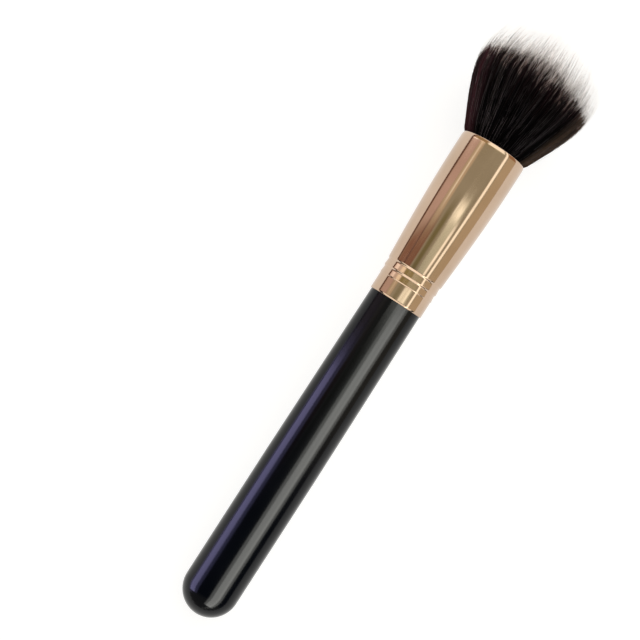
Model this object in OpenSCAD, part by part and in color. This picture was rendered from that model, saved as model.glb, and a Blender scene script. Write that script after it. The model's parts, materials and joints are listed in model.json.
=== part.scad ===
// Makeup brush: a lacquered wooden handle, a crimped metal ferrule that flares to an open mouth,
// and a domed head of short dark hair mixed with longer pale fibres.
// The brush lies on its side on z = 0, on its tail end and its widest hair, with its head towards +X.
// Sizes are in millimetres. Each piece is drawn upright, tail end at zero, and then laid down.

/* [Handle] */
// Length of the handle that shows, from the round tail end to the ferrule
handle_l = 92.4; // [75:0.2:140]
// Radius of the straight grip, over the lacquer
handle_r = 7.35; // [5.5:0.05:9]
// Length from the tail end to the end of the straight grip
grip_l = 44; // [25:1:65]
// Radius of the handle at the ferrule, over the lacquer
neck_r = 7.05; // [5.5:0.05:8]
// Thickness of the lacquer coat
lacquer_t = 0.15; // [0.05:0.05:0.4]
// Length of the tenon inside the ferrule
tenon_l = 16; // [10:0.5:20]

/* [Ferrule] */
// Length of the metal ferrule
ferrule_l = 45.2; // [42:0.2:60]
// Thickness of the metal
wall_t = 0.35; // [0.2:0.05:0.5]
// Length of the plain collar next to the handle
collar_l = 4.6; // [2:0.1:5]
// Number of rolled crimp rings
ring_count = 2; // [1:1:3]
// Length of one crimp ring, from ridge to ridge
ring_l = 2.2; // [1.5:0.1:2.5]
// Depth of a crimp ring below its ridges
ring_d = 0.15; // [0.05:0.05:0.25]
// Step up from the collar to the first ridge
ridge_rise = 0.12; // [0.04:0.02:0.3]
// How much wider in radius the ferrule is past its crimp rings than at its collar
body_rise = 0.35; // [0.1:0.05:0.8]
// Radius of the ferrule at its widest, near the mouth
mouth_r = 8.92; // [8.6:0.02:10]
// Length of the straight stretch before the rolled lip
straight_l = 4; // [1:0.2:8]
// Length of the rolled lip
lip_l = 1.2; // [0.6:0.1:2]
// How far the rolled lip turns in
lip_turn = 0.3; // [0.1:0.05:0.5]

/* [Bond] */
// Thickness of the glue between the tenon and the ferrule
glue_t = 0.1; // [0.05:0.05:0.2]
// Length of the glue, from the ferrule's lower edge
glue_l = 12; // [8:0.5:15]
// Length of the cured resin plug that holds the hair roots
plug_l = 9; // [6:0.5:10]
// Thickness of the binding thread round the plug
thread_d = 0.6; // [0.3:0.05:0.9]
// Number of turns of binding thread
thread_turns = 4; // [2:1:6]

/* [Hair] */
// Length of hair between the resin and the ferrule's mouth
root_l = 8; // [5:0.5:10]
// Height above the mouth where the hair stops flaring fast
bend_h = 11.4; // [8:0.2:14]
// Radius of the head at that height
bend_r = 14.1; // [11:0.1:15]
// Height above the mouth of the widest dark tips
wide_h = 19.2; // [15:0.2:24]
// Radius of the head at its widest dark tips
head_r = 16.4; // [14:0.1:20]
// Height above the mouth of the highest dark tips
crown_h = 26.6; // [25:0.2:36]
// How much further the pale fibres reach than the dark hair beside them
pale_over = 3.8; // [1:0.2:6]
// Most that a tip is longer or shorter than its neighbours
tip_vary = 0.5; // [0:0.1:1]
// How deep the hair is pressed flat where the head lies
press_d = 1; // [0.6:0.1:1.5]
// Number of rings of hair, which hold six, twelve, eighteen and so on locks
hair_rings = 11; // [10:1:12]
// Every how many rings the hair is pale instead of dark
pale_step = 3; // [2:1:4]

/* [Hidden] */
$fn = 96;

// Clearance between pieces that touch
fit_gap = 0.02;
// Overrun of every cut
cut = 1;
// Clearance between the hair and the lip
hair_gap = 0.05;
// Thickness of the slice of backing that the dark hair grows from
slice_t = 1.2;
// Depth of the grooves in that slice, which hold the slices of the pale fibres
groove_d = 0.8;

// Steps along curved outlines
ball_steps = 20;
ring_steps = 8;
flare_steps = 16;
lip_steps = 6;
plug_steps = 4;
thread_steps = 12;

// Heights from the tail end of the ferrule's mouth, the face that the hair grows from, and the resin's ends
mouth_z = handle_l + ferrule_l;
root_z = mouth_z - root_l;
plug_top_z = root_z - slice_t - fit_gap;
plug_z = plug_top_z - plug_l;

// Radii that follow from the handle's neck, and of the bundle of hair inside the lip
tenon_r = neck_r - lacquer_t - fit_gap;
collar_r = tenon_r + glue_t + 2 * fit_gap + wall_t;
body_r = collar_r + body_rise;
hair_r = mouth_r - lip_turn - wall_t - hair_gap;

// Heights in the ferrule, from its lower edge
body_h = collar_l + ring_count * ring_l;
lip_h = ferrule_l - lip_l;
flare_h = lip_h - straight_l;

// A lock's corner radius, and how far past a ring's middle the next ring's ground begins, as shares of
// the rings' spacing, and that spacing as a share of the head's radius
lock_share = 0.56;
border_share = (1 - lock_share / 2) / 2;
pitch_share = 1 / (hair_rings + lock_share / 2);
// Length of a lock's point, as a share of its length above the bend
point_share = 0.4;
// How square the dome of tips is: 2 is a parabola
crown_power = 3;
crown_drop = crown_h - wide_h;
dark_rings = [for (k = [1 : hair_rings]) if (k % pale_step != 0) k];
pale_rings = [for (k = [1 : hair_rings]) if (k % pale_step == 0) k];
tip_shares = rands(-1, 1, 3 * hair_rings * (hair_rings + 1), 11);

// How far the axis leans up towards the head when the tail end and the pressed hair touch the ground
wide_run = mouth_z + wide_h - handle_r;
rest_r = head_r - press_d;
lean = atan2(rest_r, wide_run) - asin(handle_r / norm([rest_r, wide_run]));
reach = (mouth_z + crown_h + pale_over - handle_r) * cos(lean);
middle_x = (reach - handle_r) / 2;

// Outer outline of the handle from its tail end to the ferrule, drawn in by a depth
function handle_half(inset, top) = concat(
    [for (i = [0 : ball_steps]) let (a = 90 * i / ball_steps)
        [(handle_r - inset) * sin(a), handle_r - (handle_r - inset) * cos(a)]],
    [[handle_r - inset, grip_l], [neck_r - inset, top]]);

// Radius of the ferrule at a height from its lower edge, without the rolled lip
function ferrule_at(h) =
    h < collar_l ? collar_r :
    h <= body_h ? ring_at(h - collar_l) :
    body_r + (mouth_r - body_r) * sin(90 * min(1, (h - body_h) / (flare_h - body_h)));

// Radius in the crimped stretch, where each ring dips between two ridges
function ring_at(h) =
    let (first_r = collar_r + ridge_rise, run = ring_count * ring_l)
    first_r + (body_r - first_r) * h / run - ring_d * abs(sin(180 * h / ring_l));

// Heights of the corners and steps of the ferrule's outline below the lip
ferrule_heights = concat(
    [0, collar_l - ridge_rise],
    [for (i = [0 : ring_count * ring_steps]) collar_l + ring_l * i / ring_steps],
    [for (i = [1 : flare_steps]) body_h + (flare_h - body_h) * i / flare_steps],
    [lip_h]);

// Half outline of the ferrule, drawn in by a depth, with the lip rolled in
function ferrule_half(inset) = concat(
    [for (h = ferrule_heights) [ferrule_at(h) - inset, handle_l + h]],
    [for (i = [1 : lip_steps]) let (a = 90 * i / lip_steps)
        [mouth_r - lip_turn * (1 - cos(a)) - inset, handle_l + lip_h + lip_l * sin(a)]]);

// Radius of the ferrule's bore at a height from the tail end
function bore_at(z) = ferrule_at(z - handle_l) - wall_t;

// Radius of the tenon at a height from the ferrule's edge, dented where the ferrule is crimped onto it
function tenon_at(h) = min(tenon_r, bore_at(handle_l + h) - glue_t - 2 * fit_gap);

// Length, lower end and inner radius of the binding, which sits halfway up the resin plug
binding_l = thread_turns * thread_d;
binding_z = (plug_z + plug_top_z - binding_l) / 2;
binding_r = bore_at(plug_z) - thread_d - 2 * fit_gap;

// A list in the opposite order
function reversed(points) = [for (i = [len(points) - 1 : -1 : 0]) points[i]];

// Outline radius of the whole head of hair at a height from the tail end
function head_at(z) =
    let (h = z - mouth_z)
    h <= 0 ? hair_r :
    h <= bend_h ? hair_r + (bend_r - hair_r) * h / bend_h :
    bend_r + (head_r - bend_r) * (h - bend_h) / (wide_h - bend_h);

// A point of the upright hair moved up to the ground where the lying brush would reach below it
function pressed(p) =
    let (height = handle_r + (p.z - handle_r) * sin(lean) - p.x * cos(lean))
    p + max(0, -height) * [-cos(lean), 0, sin(lean)];

// The three corners of a lock at a height, one inwards and two on the outside
function lock_corners(ring, turn, z) =
    let (pitch = head_at(z) * pitch_share, corner_r = lock_share * pitch)
    [for (side = [180, -60, 60])
        let (p = [ring * pitch + corner_r * cos(side), corner_r * sin(side)])
        pressed([p.x * cos(turn) - p.y * sin(turn), p.x * sin(turn) + p.y * cos(turn), z])];

// The point of a lock, on the outside so that the head keeps its full width
function lock_tip(ring, turn, z) =
    let (r = head_at(z) * (ring + lock_share / 2) * pitch_share)
    pressed([r * cos(turn), r * sin(turn), z]);

// Pieces below are drawn upright and laid down here
module laid_down() {
    translate([-middle_x, 0, handle_r])
        rotate([0, 90 - lean, 0])
            translate([0, 0, -handle_r])
                children();
}

module revolved(points) {
    laid_down() rotate_extrude() polygon(points);
}

// Turned wood with a round tail end and a tenon
module handle_core() {
    inset = lacquer_t + fit_gap;
    tenon = [for (h = ferrule_heights) if (h > 0 && h < tenon_l) [tenon_at(h), handle_l + h]];
    color("burlywood")
        revolved(concat(handle_half(inset, handle_l), tenon,
            [[tenon_r, handle_l + tenon_l], [0, handle_l + tenon_l]]));
}

// Black lacquer over all of the handle that shows
module handle_lacquer() {
    top = handle_l - fit_gap;
    color("black")
        revolved(concat(handle_half(0, top), reversed(handle_half(lacquer_t, top))));
}

// Seamless metal tube with a plain collar, crimp rings, a slow flare and a rolled lip
module ferrule() {
    color("tan")
        revolved(concat(ferrule_half(0), reversed(ferrule_half(wall_t))));
}

// Glue that fills the space between the tenon and the ferrule
module tenon_glue() {
    heights = concat([fit_gap], [for (h = ferrule_heights) if (h > 0 && h < glue_l) h], [glue_l]);
    outside = [for (h = heights) [bore_at(handle_l + h) - fit_gap, handle_l + h]];
    inside = [for (h = heights) [tenon_at(h) + fit_gap, handle_l + h]];
    color("khaki")
        revolved(concat(outside, reversed(inside)));
}

// Cured resin round the hair roots, with a groove for the binding
module root_plug() {
    low = binding_z - fit_gap;
    high = binding_z + binding_l + fit_gap;
    floor_r = binding_r - fit_gap;
    color("darkgoldenrod")
        revolved(concat([[0, plug_z]],
            [for (i = [0 : plug_steps]) let (z = plug_z + (low - plug_z) * i / plug_steps)
                [bore_at(z) - fit_gap, z]],
            [[floor_r, low], [floor_r, high]],
            [for (i = [0 : plug_steps]) let (z = high + (plug_top_z - high) * i / plug_steps)
                [bore_at(z) - fit_gap, z]],
            [[0, plug_top_z]]));
}

// Turns of thread side by side, which hold the bundle together
module root_binding() {
    color("white")
        revolved(concat([[binding_r, binding_z]],
            [for (i = [0 : thread_turns * thread_steps])
                let (bulge = thread_d * (1 + abs(sin(180 * i / thread_steps))) / 2)
                [binding_r + bulge, binding_z + thread_d * i / thread_steps]],
            [[binding_r, binding_z + binding_l]]));
}

// One lock of hair: straight through the ferrule, spreading above it, and pointed at its tip
module lock(ring, turn, over, tip_share, sink) {
    bend_z = mouth_z + bend_h;
    dome_z = mouth_z + crown_h - crown_drop * pow(ring / hair_rings, crown_power);
    tip_z = dome_z + over + tip_vary * tip_share;
    heights = [root_z - sink, mouth_z, bend_z, tip_z - point_share * (tip_z - bend_z)];
    rows = [for (i = [0 : len(heights) - 2]) 3 * i];
    top = 3 * (len(heights) - 1);
    polyhedron(
        points = concat(
            [for (z = heights, corner = lock_corners(ring, turn, z)) corner],
            [lock_tip(ring, turn, tip_z)]),
        faces = concat(
            [[0, 1, 2]],
            [for (row = rows, i = [0 : 2]) [row + i, row + 3 + i, row + (i + 1) % 3]],
            [for (row = rows, i = [0 : 2]) [row + (i + 1) % 3, row + 3 + i, row + 3 + (i + 1) % 3]],
            [for (i = [0 : 2]) [top + i, top + 3, top + (i + 1) % 3]]));
}

// All locks of the given rings
module locks(rings, over, sink) {
    for (k = rings, i = [0 : 6 * k - 1])
        lock(k, 360 * i / (6 * k), over, tip_shares[3 * k * (k - 1) + i], sink);
}

// The ground of one ring of locks in the backing, drawn in by a clearance
module ring_slice(ring, inset, low, high) {
    border_r = (ring + border_share) * hair_r * pitch_share;
    translate([0, 0, low])
        difference() {
            cylinder(h = high - low, r = border_r - inset);
            translate([0, 0, -cut])
                cylinder(h = high - low + 2 * cut, r = border_r - hair_r * pitch_share + inset);
        }
}

// Dark hair fused to a grooved slice of its backing
module dark_hair() {
    low = root_z - slice_t;
    color("black")
        laid_down()
            union() {
                difference() {
                    translate([0, 0, low])
                        cylinder(h = slice_t, r = bore_at(low) - fit_gap);
                    for (k = pale_rings)
                        ring_slice(k, 0, root_z - groove_d, root_z + cut);
                }
                locks(dark_rings, 0, groove_d / 2);
            }
}

// Longer pale fibres fused to narrow slices of backing that sit in the dark slice's grooves
module pale_fibres() {
    color("white")
        laid_down()
            union() {
                for (k = pale_rings)
                    ring_slice(k, fit_gap, root_z - groove_d + fit_gap, root_z);
                locks(pale_rings, pale_over, groove_d / 2);
            }
}

handle_core();
handle_lacquer();
ferrule();
tenon_glue();
root_plug();
root_binding();
dark_hair();
pale_fibres();
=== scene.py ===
"""Looks of a makeup brush that lies on a white table: lacquered handle, rose-gold ferrule and a domed head
of dark hair mixed with longer pale fibres."""

import json
import math

import bpy
import numpy as np
from mathutils import Matrix, Vector

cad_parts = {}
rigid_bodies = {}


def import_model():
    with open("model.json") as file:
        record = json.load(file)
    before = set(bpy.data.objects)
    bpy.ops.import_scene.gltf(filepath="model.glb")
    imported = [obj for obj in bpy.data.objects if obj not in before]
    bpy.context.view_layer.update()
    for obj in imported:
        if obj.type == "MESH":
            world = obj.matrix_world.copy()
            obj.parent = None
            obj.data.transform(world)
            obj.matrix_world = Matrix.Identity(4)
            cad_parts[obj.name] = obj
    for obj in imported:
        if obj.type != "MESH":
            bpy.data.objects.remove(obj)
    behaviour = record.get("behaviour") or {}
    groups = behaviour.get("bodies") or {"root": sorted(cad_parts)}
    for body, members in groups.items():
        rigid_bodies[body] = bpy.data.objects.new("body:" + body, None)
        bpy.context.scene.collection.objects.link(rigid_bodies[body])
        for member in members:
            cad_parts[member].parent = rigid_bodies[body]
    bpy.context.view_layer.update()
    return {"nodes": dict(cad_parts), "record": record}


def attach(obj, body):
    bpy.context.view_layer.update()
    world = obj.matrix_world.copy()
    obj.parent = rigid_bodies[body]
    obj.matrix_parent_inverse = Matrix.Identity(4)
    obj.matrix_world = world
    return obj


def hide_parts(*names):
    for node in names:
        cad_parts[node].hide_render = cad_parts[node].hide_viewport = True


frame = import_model()
rng = np.random.default_rng(7)

MM = 0.001

# The brush's own axes, from the mount on its grip: AXIS runs from the tail end to the head,
# SIDE across it along the table and UP square to both
grip = frame["record"]["mounts"][0]
AXIS = -Vector(grip["axis"]).normalized()
SIDE = Vector((0, 1, 0))
UP = AXIS.cross(SIDE)
TAIL = Vector(grip["pos_m"]) - AXIS * MM * (grip["dims"]["length_mm"] / 2 + grip["dims"]["r_mm"])


def heights_of(node):
    """Lowest and highest point of a CAD node along the brush, in mm from the tail end."""
    heights = [(v.co - TAIL).dot(AXIS) / MM for v in frame["nodes"][node].data.vertices]
    return min(heights), max(heights)


NECK_Z, MOUTH_Z = heights_of("ferrule")
BRUSH_L = 168.0
MIDDLE = TAIL + AXIS * BRUSH_L / 2 * MM


def to_world(x, y, h):
    """World coordinates in metres of points in mm: x along UP, y along SIDE, h from the ferrule's mouth."""
    axes = np.array([UP, SIDE, AXIS])
    local = np.stack([x, y, h + MOUTH_Z], axis=-1) * MM
    return np.array(TAIL) + local @ axes


def stand_in(name, mesh, made, node):
    """Adds a mesh to the scene in place of a CAD node."""
    mesh.polygons.foreach_set("use_smooth", np.ones(len(mesh.polygons), bool))
    mesh.materials.append(made)
    piece = bpy.data.objects.new(name, mesh)
    bpy.context.scene.collection.objects.link(piece)
    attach(piece, "root")
    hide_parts(node)


def dress(node, made):
    """Gives a CAD node a material."""
    part = frame["nodes"][node]
    if not part.material_slots:
        part.data.materials.append(made)
    for place in part.material_slots:
        place.material = made


# Materials. Sizes in them are in metres, and a noise's scale is its number of features per metre.

# Values between which most of a noise lies
NOISE_LOW = 0.3
NOISE_HIGH = 0.7


class Nodes:
    """Short hand for building a node tree."""

    def __init__(self, tree):
        self.tree = tree
        tree.nodes.clear()

    def add(self, kind, inputs=None, **settings):
        """Adds a node. Each input is a value, or another node's output, which is linked to it."""
        node = self.tree.nodes.new(kind)
        for key, value in settings.items():
            setattr(node, key, value)
        for key, value in (inputs or {}).items():
            self.set(node.inputs[key], value)
        return node

    def set(self, socket, value):
        """Links an output to an input, or gives the input a value."""
        if isinstance(value, bpy.types.NodeSocket):
            self.tree.links.new(value, socket)
        else:
            socket.default_value = value

    def math(self, operation, a, b=0.0, clamp=False):
        """One sum."""
        node = self.add("ShaderNodeMath", {0: a, 1: b}, operation=operation, use_clamp=clamp)
        return node.outputs[0]

    def fit(self, value, low, high, to_low=0.0, to_high=1.0, smooth=False):
        """A value taken from one range to another."""
        kind = "SMOOTHSTEP" if smooth else "LINEAR"
        inputs = {"Value": value, "From Min": low, "From Max": high, "To Min": to_low, "To Max": to_high}
        return self.add("ShaderNodeMapRange", inputs, interpolation_type=kind).outputs["Result"]

    def ramp(self, factor, stops):
        """Colours between stops, each a place and a colour."""
        node = self.add("ShaderNodeValToRGB", {"Fac": factor})
        points = node.color_ramp.elements
        while len(points) < len(stops):
            points.new(0.5)
        for point, (place, colour) in zip(points, stops):
            point.position = place
            point.color = (*colour, 1)
        return node.outputs["Color"]

    def mix(self, factor, first, second):
        """One colour turning to another. A Mix node has its colours at inputs 6 and 7 and at output 2."""
        node = self.add("ShaderNodeMix", {"Factor": factor, 6: first, 7: second}, data_type="RGBA")
        return node.outputs[2]

    def attribute(self, name):
        """A value that the mesh holds at each point."""
        return self.add("ShaderNodeAttribute", attribute_name=name).outputs["Fac"]

    def place(self):
        """Place in the shared frame."""
        return self.add("ShaderNodeTexCoord").outputs["Object"]

    def noise(self, scale, detail):
        """Noise with one scale, or with one for each axis where it is drawn out."""
        place = self.place()
        if isinstance(scale, tuple):
            place = self.add("ShaderNodeMapping", {"Vector": place, "Scale": scale}).outputs["Vector"]
            scale = 1.0
        inputs = {"Vector": place, "Scale": scale, "Detail": detail}
        return self.add("ShaderNodeTexNoise", inputs).outputs["Fac"]

    def shade(self, noise, dark, light):
        """Colour that varies with a noise."""
        return self.ramp(noise, [(NOISE_LOW, dark), (NOISE_HIGH, light)])

    def vary(self, noise, least, most):
        """Value that varies with a noise."""
        return self.fit(noise, NOISE_LOW, NOISE_HIGH, least, most)

    def bump(self, height, strength, depth):
        """Surface direction for a height."""
        inputs = {"Height": height, "Strength": strength, "Distance": depth}
        return self.add("ShaderNodeBump", inputs).outputs["Normal"]


def material(name):
    """A new material with its nodes and its shader."""
    made = bpy.data.materials.new(name)
    made.use_nodes = True
    nodes = Nodes(made.node_tree)
    shader = nodes.add("ShaderNodeBsdfPrincipled")
    output = nodes.add("ShaderNodeOutputMaterial")
    nodes.tree.links.new(shader.outputs[0], output.inputs["Surface"])
    return made, nodes, shader


def lacquer_material():
    """Near-black satin gloss, a little uneven."""
    made, nodes, shader = material("black_lacquer")
    fine = nodes.noise(scale=900.0, detail=3.0)
    broad = nodes.noise(scale=60.0, detail=2.0)
    colour = nodes.shade(broad, dark=(0.0002, 0.0004, 0.0008), light=(0.0005, 0.0007, 0.0012))
    nodes.set(shader.inputs["Base Color"], colour)
    nodes.set(shader.inputs["Roughness"], nodes.vary(broad, 0.13, 0.17))
    nodes.set(shader.inputs["Normal"], nodes.bump(fine, strength=0.02, depth=0.0002))
    shader.inputs["Specular IOR Level"].default_value = 0.19
    return made


def metal_material():
    """Polished rose gold with fine drawn lines along the brush."""
    made, nodes, shader = material("rose_gold_metal")
    lines = nodes.noise(scale=(60.0, 900.0, 900.0), detail=3.0)
    broad = nodes.noise(scale=120.0, detail=2.0)
    colour = nodes.shade(broad, dark=(0.51, 0.375, 0.275), light=(0.565, 0.42, 0.315))
    nodes.set(shader.inputs["Base Color"], colour)
    nodes.set(shader.inputs["Roughness"], nodes.vary(lines, 0.06, 0.13))
    shader.inputs["Metallic"].default_value = 1.0
    return made


def wood_material():
    """Sanded wood with its grain along the brush."""
    made, nodes, shader = material("turned_wood")
    grain = nodes.noise(scale=(30.0, 700.0, 700.0), detail=5.0)
    colour = nodes.ramp(grain, [(0.35, (0.42, 0.27, 0.14)), (0.65, (0.68, 0.5, 0.31))])
    nodes.set(shader.inputs["Base Color"], colour)
    nodes.set(shader.inputs["Roughness"], nodes.vary(grain, 0.5, 0.7))
    return made


def cast_material(name, dark, light, roughness):
    """Something that has set from a liquid, a little cloudy."""
    made, nodes, shader = material(name)
    cloud = nodes.noise(scale=350.0, detail=3.0)
    nodes.set(shader.inputs["Base Color"], nodes.shade(cloud, dark, light))
    nodes.set(shader.inputs["Roughness"], nodes.vary(cloud, *roughness))
    shader.inputs["Subsurface Weight"].default_value = 0.2
    shader.inputs["Subsurface Scale"].default_value = 0.001
    return made


def glue_material():
    """Cured glue, nearly clear."""
    return cast_material("clear_glue", (0.66, 0.6, 0.42), (0.8, 0.75, 0.55), roughness=(0.15, 0.3))


def resin_material():
    """Cured amber resin."""
    return cast_material("amber_resin", (0.38, 0.24, 0.09), (0.55, 0.38, 0.16), roughness=(0.2, 0.35))


def thread_material():
    """Twisted white thread."""
    made, nodes, shader = material("binding_thread")
    inputs = {"Vector": nodes.place(), "Scale": 900.0, "Distortion": 2.0}
    twist = nodes.add("ShaderNodeTexWave", inputs, bands_direction="DIAGONAL").outputs["Fac"]
    colour = nodes.ramp(twist, [(0.0, (0.6, 0.59, 0.55)), (1.0, (0.85, 0.84, 0.8))])
    nodes.set(shader.inputs["Base Color"], colour)
    nodes.set(shader.inputs["Normal"], nodes.bump(twist, strength=0.4, depth=0.0001))
    shader.inputs["Roughness"].default_value = 0.75
    return made


# How bright a painted cast of coloured light is on the darkest strands, as a share, and the tone from which
# it has its full colour
PAINTED_CAST_DIM = 0.4
PAINTED_CAST_FULL_TONE = 0.8


def hair_material(name, body, tips, turns, roughness, shine, painted_light_casts=()):
    """Colours picked by each strand's tone. turns are the shares of a strand between which its body's colour
    turns to its tip's. Each painted cast is coloured light painted on the strands at one side of the head: it
    has two places across the head, between which it comes in, and a colour."""
    made, nodes, shader = material(name)
    tone = nodes.attribute("tone")
    blend = nodes.fit(nodes.attribute("along"), *turns, smooth=True)
    colour = nodes.mix(blend, nodes.ramp(tone, body), nodes.ramp(tone, tips))
    # Each painted cast lays colour that stands in for coloured light over the strands at one side of the head
    for start, end, painted_light in painted_light_casts:
        dim = tuple(PAINTED_CAST_DIM * part for part in painted_light)
        painted_light_colour = nodes.ramp(tone, [(0.0, dim), (PAINTED_CAST_FULL_TONE, painted_light)])
        colour = nodes.mix(nodes.fit(nodes.attribute("side"), start, end), colour, painted_light_colour)
    nodes.set(shader.inputs["Base Color"], colour)
    shader.inputs["Roughness"].default_value = roughness
    shader.inputs["Specular IOR Level"].default_value = shine
    return made


def dark_hair_material():
    """Brown-black hair with lighter tips, and with painted light: a mauve cast painted on one side and an
    olive one on the other, standing in for coloured light falling on those sides.
    """
    body = [(0.0, (0.0006, 0.0006, 0.0009)), (0.8, (0.002, 0.0015, 0.0016)), (1.0, (0.007, 0.005, 0.0045))]
    tips = [(0.0, (0.002, 0.001, 0.0014)), (0.7, (0.009, 0.004, 0.0055)), (1.0, (0.05, 0.022, 0.026))]
    # Painted light: a mauve cast and an olive cast that stand in for coloured light falling on the two sides
    mauve_painted_light = (0.72, 0.98, (0.085, 0.03, 0.04))
    olive_painted_light = (-0.78, -1.0, (0.15, 0.1, 0.072))
    return hair_material("dark_hair", body, tips, (0.6, 1.0), roughness=0.6, shine=0.02, painted_light_casts=(mauve_painted_light, olive_painted_light))


def pale_hair_material(name, tips, turns):
    """Fibres that are dark at the root and pale at the tip."""
    body = [(0.0, (0.003, 0.002, 0.002)), (1.0, (0.013, 0.01, 0.009))]
    return hair_material(name, body, tips, turns, roughness=0.5, shine=0.2)


def stray_material():
    """Grey fibres."""
    grey = [(0.0, (0.02, 0.017, 0.02)), (0.8, (0.12, 0.1, 0.105)), (1.0, (0.4, 0.36, 0.37))]
    return hair_material("pale_fibre_strays", grey, grey, (0.6, 1.0), roughness=0.5, shine=0.2)


# Head of hair. Lengths are in mm, and heights are from the ferrule's mouth. A strand's place is given as
# shares of the head's radius along UP and along SIDE.

# Radius of the hair in the mouth, how far it swells over the lip, and the height in which about two thirds of
# that is done
HAIR_R = 8.2
SPILL_R = 0.66
SPILL_H = 0.4
# How fast the head widens, the height from which it bends inwards, and how fast it bends
FLARE = 0.457
BEND_H = 11.0
BEND_RATE = 0.047
# Dome of dark tips: its height in the middle and at the rim, the power of its fall between them, and how much
# higher it is at the rim on SIDE
CROWN_H = 25.6
WIDE_H = 18.6
CROWN_POWER = 1.3
CROWN_SKEW = 1.6
# How deep in the mouth the strands begin, their first station above it, and the height above the table below
# which they are pressed flat
ROOT_DEPTH = 4.0
LEAVE_H = 0.05
SOFT_FLOOR = 0.7
# Share of a strand from which it tapers and leans to its tuft, how late it leans, and the share of its
# thickness that it tapers to before it ends in a point
TIP_FROM = 0.55
LEAN_POWER = 1.5
TIP_LEFT = 0.25
# Turn of a strand's sway along its length, in radians, least and most
SWAY_TURN = (3, 9)
# Tufts: how many there are, how far out they reach, and how many random places are tried for each
TUFT_COUNT = 620
TUFT_REACH = 0.985
TUFT_TRIES = 10
# Corners of a strand's cross-section
CORNERS = 3


def outline(h):
    """Radius of the whole head at a height."""
    above = np.maximum(h, 0)
    spill = SPILL_R * (1 - np.exp(-above / SPILL_H))
    bend = BEND_RATE * np.maximum(above - BEND_H, 0) ** 2 / 2
    return HAIR_R + spill + FLARE * above - bend


def dome(places):
    """Height of the dark tips."""
    share = np.hypot(*places.T)
    return CROWN_H - (CROWN_H - WIDE_H) * share ** CROWN_POWER + CROWN_SKEW * places[:, 1]


def disc(count, low=0.0, high=1.0):
    """Random places in a disc, or in a ring of it."""
    share = np.sqrt(rng.uniform(low ** 2, high ** 2, count))
    turn = rng.uniform(0, 2 * np.pi, count)
    return np.stack([share * np.cos(turn), share * np.sin(turn)], axis=1)


def spread_tufts():
    """Middles of the tufts. Each is the one of a few random places that is farthest from the others."""
    tufts = disc(1, 0.0, TUFT_REACH)
    while len(tufts) < TUFT_COUNT:
        fresh = disc(TUFT_TRIES, 0.0, TUFT_REACH)
        gaps = ((fresh[:, None] - tufts[None]) ** 2).sum(axis=2).min(axis=1)
        tufts = np.vstack([tufts, fresh[gaps.argmax()]])
    return tufts


TUFTS = spread_tufts()


def nearest_tuft(places):
    """The number of the tuft that each place belongs to, and how far off its middle is."""
    gaps = ((places[:, None, :] - TUFTS[None, :, :]) ** 2).sum(axis=2)
    return gaps.argmin(axis=1), np.sqrt(gaps.min(axis=1))


def strand_points(centres, radii):
    """Corners of each strand's cross-sections and then its tip, kept above the table."""
    strands = len(centres)
    turn = rng.uniform(0, 2 * np.pi, strands)[:, None] + 2 * np.pi * np.arange(CORNERS) / CORNERS
    turn = turn[:, None, :, None]
    across = np.cos(turn) * np.array(UP) + np.sin(turn) * np.array(SIDE)
    rings = centres[:, :-1, None, :] + across * radii[:, :-1, None, None]
    points = np.concatenate([rings.reshape(strands, -1, 3), centres[:, -1:]], axis=1)
    points[:, :, 2] = np.maximum(points[:, :, 2], 0.0)
    return points


def strand_faces(strands, size):
    """Triangles between each strand's cross-sections, and from the last of them to the tip. size is how many
    points a strand has."""
    tip = size - 1
    last = tip - CORNERS
    faces = []
    for low in range(0, last, CORNERS):
        for i in range(CORNERS):
            a = low + i
            b = low + (i + 1) % CORNERS
            faces += [(a, b, b + CORNERS), (a, b + CORNERS, a + CORNERS)]
    faces += [(last + i, last + (i + 1) % CORNERS, tip) for i in range(CORNERS)]
    starts = np.arange(strands) * size
    return np.array(faces)[None] + starts[:, None, None]


def strand_mesh(name, centres, radii, tones, sides):
    """One mesh of pointed strands. centres and radii are per strand and station, and the last is the tip."""
    strands, stations = radii.shape
    points = strand_points(centres, radii)
    size = points.shape[1]
    faces = strand_faces(strands, size)
    mesh = bpy.data.meshes.new(name)
    mesh.vertices.add(strands * size)
    mesh.vertices.foreach_set("co", points.astype(np.float32).ravel())
    mesh.loops.add(faces.size)
    mesh.loops.foreach_set("vertex_index", faces.astype(np.int32).ravel())
    mesh.polygons.add(faces.size // 3)
    mesh.polygons.foreach_set("loop_start", np.arange(0, faces.size, 3, dtype=np.int32))
    mesh.update(calc_edges=True)
    stretch = np.linspace(0, 1, stations)
    along = np.append(np.repeat(stretch[:-1], CORNERS), stretch[-1])
    values_of = {
        "along": np.tile(along, strands),
        "tone": np.repeat(tones, size),
        "side": np.repeat(sides, size),
    }
    for label, values in values_of.items():
        layer = mesh.attributes.new(label, "FLOAT", "POINT")
        layer.data.foreach_set("value", values.astype(np.float32))
    return mesh


def sway(wave, t):
    """How far strands stray sideways at shares of their length: a wave that starts at nothing, and a lean."""
    size = (len(t), 1, 2)
    phase = rng.uniform(0, 2 * np.pi, size)
    turn = rng.uniform(*SWAY_TURN, size)
    lean = rng.normal(0, 1, size)
    t = t[:, :, None]
    return wave[:, None, None] * (np.sin(phase + turn * t) - np.sin(phase) + lean * t ** 2) * t


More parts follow.
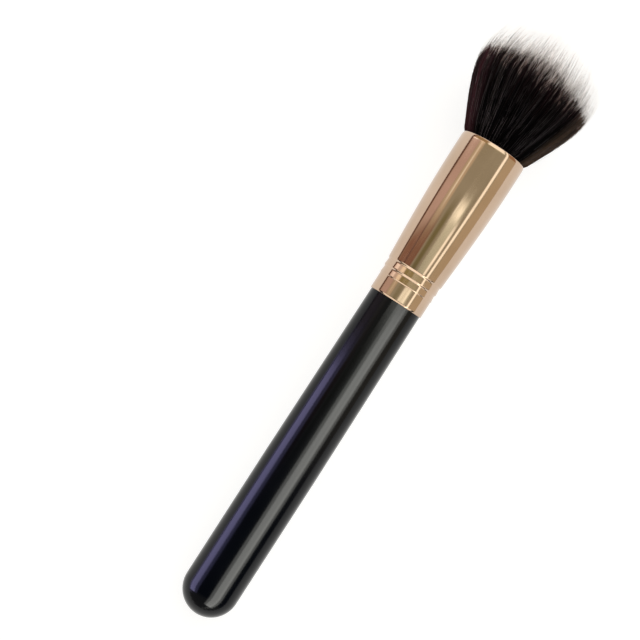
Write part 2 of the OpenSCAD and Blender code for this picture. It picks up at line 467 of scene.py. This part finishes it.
def grow(name, places, tip_h, stations, thick, wave, tones, pull=None, tufts=None, tip_left=TIP_LEFT):
    """Mesh of strands from inside the ferrule to their tips. stations are shares of a strand's free length,
    and pull is the share of the way to the middle of its tuft that its tip leans."""
    start = np.tile((-ROOT_DEPTH, LEAVE_H), (len(places), 1))
    h = np.hstack([start, tip_h[:, None] * np.append(stations, 1.0)])
    t = np.clip(h / tip_h[:, None], 0, 1)
    mean = places[:, None, :]
    if pull is not None:
        gather = pull[:, None] * np.clip((t - TIP_FROM) / (1 - TIP_FROM), 0, 1) ** LEAN_POWER
        mean = mean * (1 - gather[:, :, None]) + tufts[:, None, :] * gather[:, :, None]
    xy = mean * outline(h)[:, :, None] + sway(wave, t)
    centres = to_world(xy[:, :, 0], xy[:, :, 1], h)
    low = SOFT_FLOOR * MM
    z = centres[:, :, 2]
    centres[:, :, 2] = np.where(z < low, low * np.exp((z - low) / low), z)
    taper = np.interp(t, [0, TIP_FROM, 1], [1, 1, tip_left])
    radii = thick[:, None] * MM * taper / 2
    return strand_mesh(name, centres, radii, tones, places[:, 1])


# Dark hair, in rings. Each has its name, its number of strands, its inner and outer edge as shares of the
# head's radius, and its stations as shares of a strand's free length, more of them where the strands show.
RIM_STATIONS = (0.02, 0.06, 0.2, 0.45, 0.7, 0.88)
DARK_RINGS = (
    ("dark_hair_rim", 3000, 0.94, 1.0, RIM_STATIONS),
    ("dark_hair_outer", 3000, 0.86, 0.94, RIM_STATIONS),
    ("dark_hair_middle", 5800, 0.55, 0.88, (0.2, 0.5, 0.75, 0.9)),
    ("dark_hair_inner", 5600, 0.0, 0.58, (0.5, 0.75, 0.9)),
)
# How far the middle of a tuft stands above the dome, and how much shorter its strands are per share of the
# head's radius from there
TUFT_RISE = 0.9
TUFT_SLOPE = 32
# How much tufts differ in length, and strands within a tuft
TUFT_VARY = 0.5
STRAND_VARY = 0.2
# Thickness of a strand, how far it sways, and its pull to its tuft, least and most
DARK_THICK = (0.09, 0.15)
DARK_WAVE = (0.03, 0.12)
DARK_PULL = (0.8, 1.0)


def make_dark_hair():
    """Dark strands, drawn together into pointed tufts."""
    made = dark_hair_material()
    longer = rng.normal(0, TUFT_VARY, TUFT_COUNT)
    for name, count, low, high, stations in DARK_RINGS:
        places = disc(count, low, high)
        number, gap = nearest_tuft(places)
        tip_h = dome(places) + TUFT_RISE + longer[number] + rng.normal(0, STRAND_VARY, count)
        tip_h -= TUFT_SLOPE * gap
        thick = rng.uniform(*DARK_THICK, count)
        wave = rng.uniform(*DARK_WAVE, count)
        pull = rng.uniform(*DARK_PULL, count)
        tones = rng.uniform(0, 1, count) ** 2
        mesh = grow(name, places, tip_h, stations, thick, wave, tones, pull, TUFTS[number])
        stand_in(name, mesh, made, "dark_hair")


# Long pale fibres, in rings. Each has its name and its inner and outer edge.
PALE_RINGS = (("pale_fibres_outer", 0.7, 1.0), ("pale_fibres_inner", 0.0, 0.7))
PALE_STATIONS = (0.5, 0.75, 0.87, 0.95)
# Strands in a ring before some are left out, and the share that is left out at the very top of the head
PALE_COUNT = 5600
PALE_THINNING = 0.8
# How far they reach beyond the dome, on average and at most, and how much further at the rim opposite SIDE
PALE_OVER = 3.0
PALE_OVER_MOST = 10.0
PALE_SKEW = 0.8
# Thickness of a fibre and how far it sways, least and most, and the share of its thickness that it tapers to
PALE_THICK = (0.02, 0.032)
PALE_WAVE = (0.08, 0.25)
PALE_TIP_LEFT = 0.5


def make_long_fibres():
    """Thin fibres that reach beyond the dark dome, fewer at the top of the head, where the tufts show."""
    tips = [(0.0, (0.86, 0.75, 0.71)), (1.0, (0.93, 0.88, 0.86))]
    made = pale_hair_material("pale_fibre", tips, turns=(0.66, 0.84))
    for name, low, high in PALE_RINGS:
        places = disc(PALE_COUNT, low, high)
        left_out = PALE_THINNING * np.clip(places[:, 0], 0, 1)
        places = places[rng.uniform(0, 1, PALE_COUNT) > left_out]
        count = len(places)
        over = np.minimum(rng.exponential(PALE_OVER, count), PALE_OVER_MOST)
        tip_h = dome(places) + (over + PALE_SKEW * np.clip(-places[:, 1], 0, 1))
        thick = rng.uniform(*PALE_THICK, count)
        wave = rng.uniform(*PALE_WAVE, count)
        tones = rng.uniform(0, 1, count)
        mesh = grow(name, places, tip_h, PALE_STATIONS, thick, wave, tones, tip_left=PALE_TIP_LEFT)
        stand_in(name, mesh, made, "pale_fibres")


# Pale locks: how many there are, how many random places are tried for each, how far they end below and above
# the dome, their stations, their thickness and how far they sway
LOCK_COUNT = 2200
LOCK_TRIES = 4
LOCK_OVER = (-2.5, 1.0)
LOCK_STATIONS = (0.3, 0.6, 0.75, 0.85, 0.93)
LOCK_THICK = (0.05, 0.1)
LOCK_WAVE = (0.03, 0.12)


def make_locks():
    """Pinkish locks in the gaps between the dark tufts."""
    tips = [(0.0, (0.34, 0.2, 0.18)), (1.0, (0.88, 0.67, 0.61))]
    made = pale_hair_material("pale_fibre_locks", tips, turns=(0.77, 0.95))
    places = disc(LOCK_COUNT * LOCK_TRIES)
    gaps = nearest_tuft(places)[1]
    places = places[gaps.argsort()[-LOCK_COUNT:]]
    tip_h = dome(places) + rng.uniform(*LOCK_OVER, LOCK_COUNT)
    thick = rng.uniform(*LOCK_THICK, LOCK_COUNT)
    wave = rng.uniform(*LOCK_WAVE, LOCK_COUNT)
    tones = rng.uniform(0, 1, LOCK_COUNT)
    mesh = grow("pale_fibres_locks", places, tip_h, LOCK_STATIONS, thick, wave, tones)
    stand_in("pale_fibres_locks", mesh, made, "pale_fibres")


# Loose fibres on the rim: how many there are, how far in they stand, their length as shares of the dome's
# height, their stations, their thickness and how far they sway
STRAY_COUNT = 420
STRAY_INNER = 0.97
STRAY_LENGTH = (0.4, 1.02)
STRAY_STATIONS = (0.02, 0.06, 0.25, 0.5, 0.75, 0.9)
STRAY_THICK = (0.04, 0.08)
STRAY_WAVE = (0.1, 0.4)
# Their lightest tone halfway between the two sides, and how fast it rises towards SIDE
STRAY_TONE = 0.65
STRAY_TONE_SKEW = 0.6


def make_strays():
    """Loose fibres that lie on the outside of the head and break up its dark mass."""
    places = disc(STRAY_COUNT, STRAY_INNER, 1.0)
    tip_h = dome(places) * rng.uniform(*STRAY_LENGTH, STRAY_COUNT)
    thick = rng.uniform(*STRAY_THICK, STRAY_COUNT)
    wave = rng.uniform(*STRAY_WAVE, STRAY_COUNT)
    lightest = np.clip(STRAY_TONE + STRAY_TONE_SKEW * places[:, 1], 0, 1)
    tones = rng.uniform(0, 1, STRAY_COUNT) * lightest
    mesh = grow("pale_fibres_strays", places, tip_h, STRAY_STATIONS, thick, wave, tones)
    stand_in("pale_fibres_strays", mesh, stray_material(), "pale_fibres")


# Ferrule, in mm: heights are from its lower edge

# Plain collar, and the first ridge above it
COLLAR_R = 7.37
COLLAR_L = 4.6
RIDGE_R = 7.49
# Crimp rings: each deepens from its ridge to a dip, which is flat between two shares of its length, and rises
# to the next ridge
RINGS = 2
RING_L = 2.2
RING_DEPTH = 0.15
DIP_SHARES = (0.72, 0.8)
# Length over which the ridges' corners are rounded, the step in which that is worked out, and how far above
# the rings it reaches
ROUND_L = 0.21
ROUND_STEP = 0.01
ROUND_REACH = 1.0
# Body, which flares up to a straight stretch, and the rolled lip
BODY_R = 7.72
BODY_H = COLLAR_L + RINGS * RING_L
MOUTH_R = 8.92
FLARE_H = 40.0
LIP_H = 44.0
LIP_L = 1.2
LIP_TURN = 0.3
WALL = 0.35
# Bevel of the lower edge, as its height and width, and crest of the upper edge, as its drop and half width
FOOT_H = 0.04
FOOT_W = 0.05
CREST_H = 0.02
CREST_HALF_W = 0.1
# Steps of the outline: along the collar, from FINE_FROM to FINE_TO across the rings, and along the body
COLLAR_STEP = 0.5
FINE_FROM = COLLAR_L - 0.5
FINE_TO = BODY_H + 0.6
FINE_STEP = 0.06
BODY_STEP = 1.0
# Steps round the rolled lip and round the tube
LIP_STEPS = 14
TURN_STEPS = 224


def body_radius(h):
    """Outer radius of the body."""
    share = np.clip((h - BODY_H) / (FLARE_H - BODY_H), 0, 1)
    return BODY_R + (MOUTH_R - BODY_R) * np.sin(np.pi / 2 * share)


def ferrule_radius(h):
    """Outer radius of the ferrule below its lip, with the ridges rounded."""
    fine = np.arange(-ROUND_REACH, BODY_H + 2 * ROUND_REACH, ROUND_STEP)
    ring, share = np.divmod((fine - COLLAR_L) / RING_L, 1)
    rise = (BODY_R - RIDGE_R) / RINGS
    ridges = RIDGE_R + rise * (ring + np.interp(share, (DIP_SHARES[1], 1), (0, 1)))
    dips = np.interp(share, (0, *DIP_SHARES, 1), (0, 1, 1, 0)) * RING_DEPTH
    raw = np.where(fine < COLLAR_L, COLLAR_R, np.where(fine < BODY_H, ridges - dips, body_radius(fine)))
    width = round(ROUND_L / ROUND_STEP)
    soft = np.convolve(raw, np.ones(width) / width, "same")
    return np.where(h < BODY_H + ROUND_REACH, np.interp(h, fine, soft), body_radius(h))


def ferrule_loop():
    """Closed outline of the tube's wall, as heights and radii."""
    h = np.concatenate([
        [FOOT_H],
        np.arange(COLLAR_STEP, FINE_FROM - COLLAR_STEP / 2, COLLAR_STEP),
        np.arange(FINE_FROM, FINE_TO, FINE_STEP),
        np.arange(BODY_H + BODY_STEP, LIP_H + BODY_STEP / 2, BODY_STEP),
    ])
    turn = np.linspace(0, np.pi / 2, LIP_STEPS + 1)[1:-1]
    lip = np.stack([LIP_H + LIP_L * np.sin(turn), MOUTH_R - LIP_TURN * (1 - np.cos(turn))], axis=1)
    outer = np.concatenate([np.stack([h, ferrule_radius(h)], axis=1), lip])
    inner = (outer - (0, WALL))[::-1]
    top = LIP_H + LIP_L
    crest_r = MOUTH_R - LIP_TURN - WALL / 2
    crest = [(top - CREST_H, crest_r + CREST_HALF_W), (top, crest_r), (top - CREST_H, crest_r - CREST_HALF_W)]
    foot = [(0.0, COLLAR_R - WALL + FOOT_W), (0.0, COLLAR_R - FOOT_W)]
    return np.concatenate([outer, crest, inner, foot])


def make_ferrule():
    """The tube as one turned mesh, finer than the CAD node, so that its reflections run smoothly."""
    loop = ferrule_loop()
    angle = 2 * np.pi * np.arange(TURN_STEPS) / TURN_STEPS
    x = loop[:, 1, None] * np.cos(angle)
    y = loop[:, 1, None] * np.sin(angle)
    h = np.broadcast_to(loop[:, 0, None] + NECK_Z - MOUTH_Z, x.shape)
    points = to_world(x, y, h).reshape(-1, 3)
    faces = []
    for row in range(len(loop)):
        low = row * TURN_STEPS
        high = (row + 1) % len(loop) * TURN_STEPS
        for k in range(TURN_STEPS):
            turned = (k + 1) % TURN_STEPS
            faces.append((low + k, low + turned, high + turned, high + k))
    mesh = bpy.data.meshes.new("ferrule_tube")
    mesh.from_pydata(points.tolist(), [], faces)
    stand_in("ferrule_tube", mesh, metal_material(), "ferrule")


# The view, in pixels of a square image
IMAGE_PX = 640
PX_PER_MM = 3.998
MIDDLE_PX = (377.2, 330.8)
LEAN_IN_IMAGE = math.radians(57.24)
# Distance from the brush to the camera, and width of its sensor, in mm
CAMERA_DISTANCE = 332.0
SENSOR = 36.0


def make_camera():
    """Looks square onto the brush from above its middle, turned so that the brush runs to the upper right."""
    focal_px = PX_PER_MM * CAMERA_DISTANCE
    data = bpy.data.cameras.new("camera")
    data.sensor_width = SENSOR
    data.lens = focal_px * SENSOR / IMAGE_PX
    data.clip_start = 0.01
    data.clip_end = 10
    camera = bpy.data.objects.new("camera", data)
    bpy.context.scene.collection.objects.link(camera)
    right = AXIS * math.cos(LEAN_IN_IMAGE) - SIDE * math.sin(LEAN_IN_IMAGE)
    top = AXIS * math.sin(LEAN_IN_IMAGE) + SIDE * math.cos(LEAN_IN_IMAGE)
    square_on = Matrix((right, top, UP)).transposed()
    centre_px = IMAGE_PX / 2
    to_middle = Vector((MIDDLE_PX[0] - centre_px, centre_px - MIDDLE_PX[1], -focal_px))
    turn = to_middle.rotation_difference(Vector((0, 0, -1))).to_matrix()
    place = MIDDLE + UP * CAMERA_DISTANCE * MM
    camera.matrix_world = Matrix.Translation(place) @ (square_on @ turn).to_4x4()
    bpy.context.scene.camera = camera


# What surrounds the brush, as patches laid over a plain room. Angles are in degrees: round is measured round
# the brush from straight up, positive towards -SIDE, and along is the tilt towards the head. Each patch has
# round from and to, its soft edge, along from and to, its soft edge, and its radiance.
ROOM = (0.5, 0.48, 0.37)
PATCHES = (
    (-22, -6, 5, -90, 2, 2, (0.28, 0.26, 0.13)),
    (-82, -28, 3, -90, 0, 1.5, (0.36, 0.19, 0.13)),
    (-82, -53, 3, 0, 90, 1.5, (0.8, 0.6, 0.54)),
    (-52, -34, 3, 0, 90, 2, (0.8, 0.68, 0.5)),
    (-46, -41, 1.2, 2.5, 90, 1.2, (1.25, 1.2, 1.0)),
    (-57, -52, 1.5, -90, 0.5, 1, (0.2, 0.1, 0.08)),
    (4, 32, 4, -90, 3.2, 1, (0.85, 0.9, 0.72)),
    (29, 37, 2, -90, 0.5, 1, (1.9, 1.9, 1.7)),
    (0, 27, 3, 0.9, 3.0, 0.6, (2.0, 2.05, 1.8)),
    (57, 100, 3, -90, 90, 3, (0.72, 0.61, 0.43)),
    (-180, 180, 1, -90, -5, 2, (0.05, 0.05, 0.06)),
    (-180, 180, 1, -90, -35, 6, (0.3, 0.28, 0.25)),
    (-120, -64, 4, 11, 15.5, 1, (1.9, 1.75, 1.65)),
    (-64, -52, 3, 11, 15.5, 1, (0.95, 0.82, 0.72)),
    (-52, -36, 4, 11, 15.5, 1, (1.5, 1.32, 1.05)),
    (-34, 2, 4, 11, 15.5, 1, (0.42, 0.36, 0.16)),
    (2, 38, 4, 11, 15.5, 1, (0.62, 0.6, 0.42)),
    (-80, -28, 4, 16, 90, 1, (0.55, 0.4, 0.22)),
    (-26, 38, 5, 16, 90, 1, (1.8, 1.8, 1.6)),
    (56, 100, 5, 16, 90, 1, (0.5, 0.3, 0.17)),
    (45.5, 53.5, 1.5, -90, 90, 3, (2.0, 2.0, 1.8)),
    (-95, -83, 1.5, -90, 90, 3, (0.2, 0.1, 0.07)),
    (-180, 180, 1, 45, 90, 5, (1.4, 1.37, 1.34)),
)


def window(nodes, angle, low, high, soft):
    """1 between two angles and 0 outside them, with soft edges."""
    low, high, soft = math.radians(low), math.radians(high), math.radians(soft)
    rise = nodes.fit(angle, low - soft, low + soft, 0.0, 1.0, smooth=True)
    fall = nodes.fit(angle, high - soft, high + soft, 1.0, 0.0, smooth=True)
    return nodes.math("MULTIPLY", rise, fall)


def part_along(nodes, ray, axis):
    """How far a ray runs along an axis."""
    node = nodes.add("ShaderNodeVectorMath", {0: ray, 1: tuple(axis)}, operation="DOT_PRODUCT")
    return node.outputs["Value"]


def room_radiance(nodes, ray):
    """What the room sends along a ray. A Mix node has its vectors at inputs 4 and 5 and at output 1."""
    round_angle = nodes.math("ARCTAN2", part_along(nodes, ray, -SIDE), part_along(nodes, ray, UP))
    along_angle = nodes.math("ARCSINE", part_along(nodes, ray, AXIS))
    total = ROOM
    for round_low, round_high, round_soft, low, high, soft, radiance in PATCHES:
        across = window(nodes, round_angle, round_low, round_high, round_soft)
        mask = nodes.math("MULTIPLY", across, window(nodes, along_angle, low, high, soft))
        total = nodes.add("ShaderNodeMix", {0: mask, 4: total, 5: radiance}, data_type="VECTOR").outputs[1]
    return total


def make_world():
    """A studio room, which polished surfaces reflect and which lights everything else. It is plain white
    below the horizon, and wherever the camera sees it, straight or through glass."""
    world = bpy.data.worlds.new("studio")
    bpy.context.scene.world = world
    world.use_nodes = True
    nodes = Nodes(world.node_tree)
    ray = nodes.add("ShaderNodeTexCoord").outputs["Generated"]
    studio = nodes.add("ShaderNodeBackground", {"Color": room_radiance(nodes, ray)})
    white = nodes.add("ShaderNodeBackground", {"Color": (1, 1, 1, 1)})
    path = nodes.add("ShaderNodeLightPath").outputs
    below = nodes.math("LESS_THAN", nodes.add("ShaderNodeSeparateXYZ", {0: ray}).outputs["Z"], 0.0)
    through = nodes.math("ADD", path["Is Transmission Ray"], below)
    seen = nodes.math("ADD", path["Is Camera Ray"], through, clamp=True)
    shown = nodes.add("ShaderNodeMixShader", {0: seen, 1: studio.outputs[0], 2: white.outputs[0]})
    output = nodes.add("ShaderNodeOutputWorld")
    nodes.tree.links.new(shown.outputs[0], output.inputs["Surface"])


# Long lamps beside the brush, in metres and degrees. Each has its name, its angle round the brush, half of
# its width as an angle, its ends along AXIS from the brush's middle, its radiance, its colour and what it
# lights.
LAMP_DISTANCE = 0.3
LAMPS = (
    ("hair_light", 0, 45, 0.0, 0.6, 1.95, (1.0, 0.98, 0.97), "hair"),
    ("key_strip", 38, 26, -0.55, 0.06, 4.1, (1.0, 1.0, 0.94), "handle"),
    ("key_core", 39, 15, -0.55, 0.02, 5.9, (1.0, 1.0, 0.95), "handle"),
    ("neck_strip", 5, 19, 0.01, 0.25, 3.1, (1.0, 1.0, 0.92), "handle"),
    ("violet_strip", -70, 13, -0.3, -0.02, 7.0, (0.58, 0.54, 1.0), "handle"),
    ("violet_rim", -68, 25, -0.3, -0.01, 2.0, (0.5, 0.48, 1.0), "handle"),
    ("ridge_light", 4, 70, -0.7, -0.06, 1.4, (1.0, 0.95, 0.85), "ferrule"),
)


def make_lamp(name, angle, half_angle, low, high, radiance, colour, lit):
    """One lamp, which lights only some pieces."""
    data = bpy.data.lights.new(name, "AREA")
    data.shape = "RECTANGLE"
    data.size = high - low
    data.size_y = 2 * LAMP_DISTANCE * math.tan(math.radians(half_angle))
    data.energy = radiance * math.pi * data.size * data.size_y
    data.color = colour
    lamp = bpy.data.objects.new(name, data)
    bpy.context.scene.collection.objects.link(lamp)
    turn = math.radians(angle)
    away = UP * math.cos(turn) - SIDE * math.sin(turn)
    place = MIDDLE + away * LAMP_DISTANCE + AXIS * (low + high) / 2
    facing = Matrix((AXIS, away.cross(AXIS), away)).transposed()
    lamp.matrix_world = Matrix.Translation(place) @ facing.to_4x4()
    group = bpy.data.collections.new(name + "_lights")
    for piece in lit:
        group.objects.link(piece)
    lamp.light_linking.receiver_collection = group


def make_lamps():
    """All lamps. They are made last, because they are tied to the pieces that they light."""
    strands = ("dark_hair_", "pale_fibres_")
    lit_by_name = {
        "handle": [frame["nodes"]["handle_lacquer"]],
        "ferrule": [bpy.data.objects["ferrule_tube"]],
        "hair": [piece for piece in bpy.data.objects if piece.name.startswith(strands)],
    }
    for *lamp, lit in LAMPS:
        make_lamp(*lamp, lit_by_name[lit])


# Half the table's width in metres, the glow and the shade that make up its white, and its grey for the light
# that it gives to matt surfaces
FLOOR_HALF = 1.5
FLOOR_GLOW = 0.85
FLOOR_SHADE = 0.35
FLOOR_GREY = 0.85


def make_floor():
    """A white table with the brush's shadow on it, white to the camera and in polished surfaces."""
    mesh = bpy.data.meshes.new("table_top")
    corners = [(x * FLOOR_HALF, y * FLOOR_HALF, 0) for x, y in ((-1, -1), (1, -1), (1, 1), (-1, 1))]
    mesh.from_pydata(corners, [], [(0, 1, 2, 3)])
    floor = bpy.data.objects.new("table_top", mesh)
    bpy.context.scene.collection.objects.link(floor)
    made = bpy.data.materials.new("white_table")
    made.use_nodes = True
    nodes = Nodes(made.node_tree)
    path = nodes.add("ShaderNodeLightPath").outputs
    reflected = nodes.math("ADD", path["Is Glossy Ray"], path["Is Transmission Ray"])
    seen = nodes.math("ADD", path["Is Camera Ray"], reflected, clamp=True)
    plain = nodes.add("ShaderNodeBsdfDiffuse", {"Color": (FLOOR_GREY, FLOOR_GREY, FLOOR_GREY, 1)})
    shade = nodes.add("ShaderNodeBsdfDiffuse", {"Color": (FLOOR_SHADE, FLOOR_SHADE, FLOOR_SHADE, 1)})
    glow = nodes.add("ShaderNodeEmission", {"Strength": FLOOR_GLOW})
    bright = nodes.add("ShaderNodeAddShader", {0: shade.outputs[0], 1: glow.outputs[0]})
    shown = nodes.add("ShaderNodeMixShader", {0: seen, 1: plain.outputs[0], 2: bright.outputs[0]})
    output = nodes.add("ShaderNodeOutputMaterial")
    nodes.tree.links.new(shown.outputs[0], output.inputs["Surface"])
    mesh.materials.append(made)


make_camera()
make_world()
make_floor()
dress("handle_lacquer", lacquer_material())
dress("handle_core", wood_material())
dress("tenon_glue", glue_material())
dress("root_plug", resin_material())
dress("root_binding", thread_material())
make_ferrule()
make_dark_hair()
make_long_fibres()
make_locks()
make_strays()
make_lamps()

bpy.context.scene.view_settings.view_transform = "Standard"
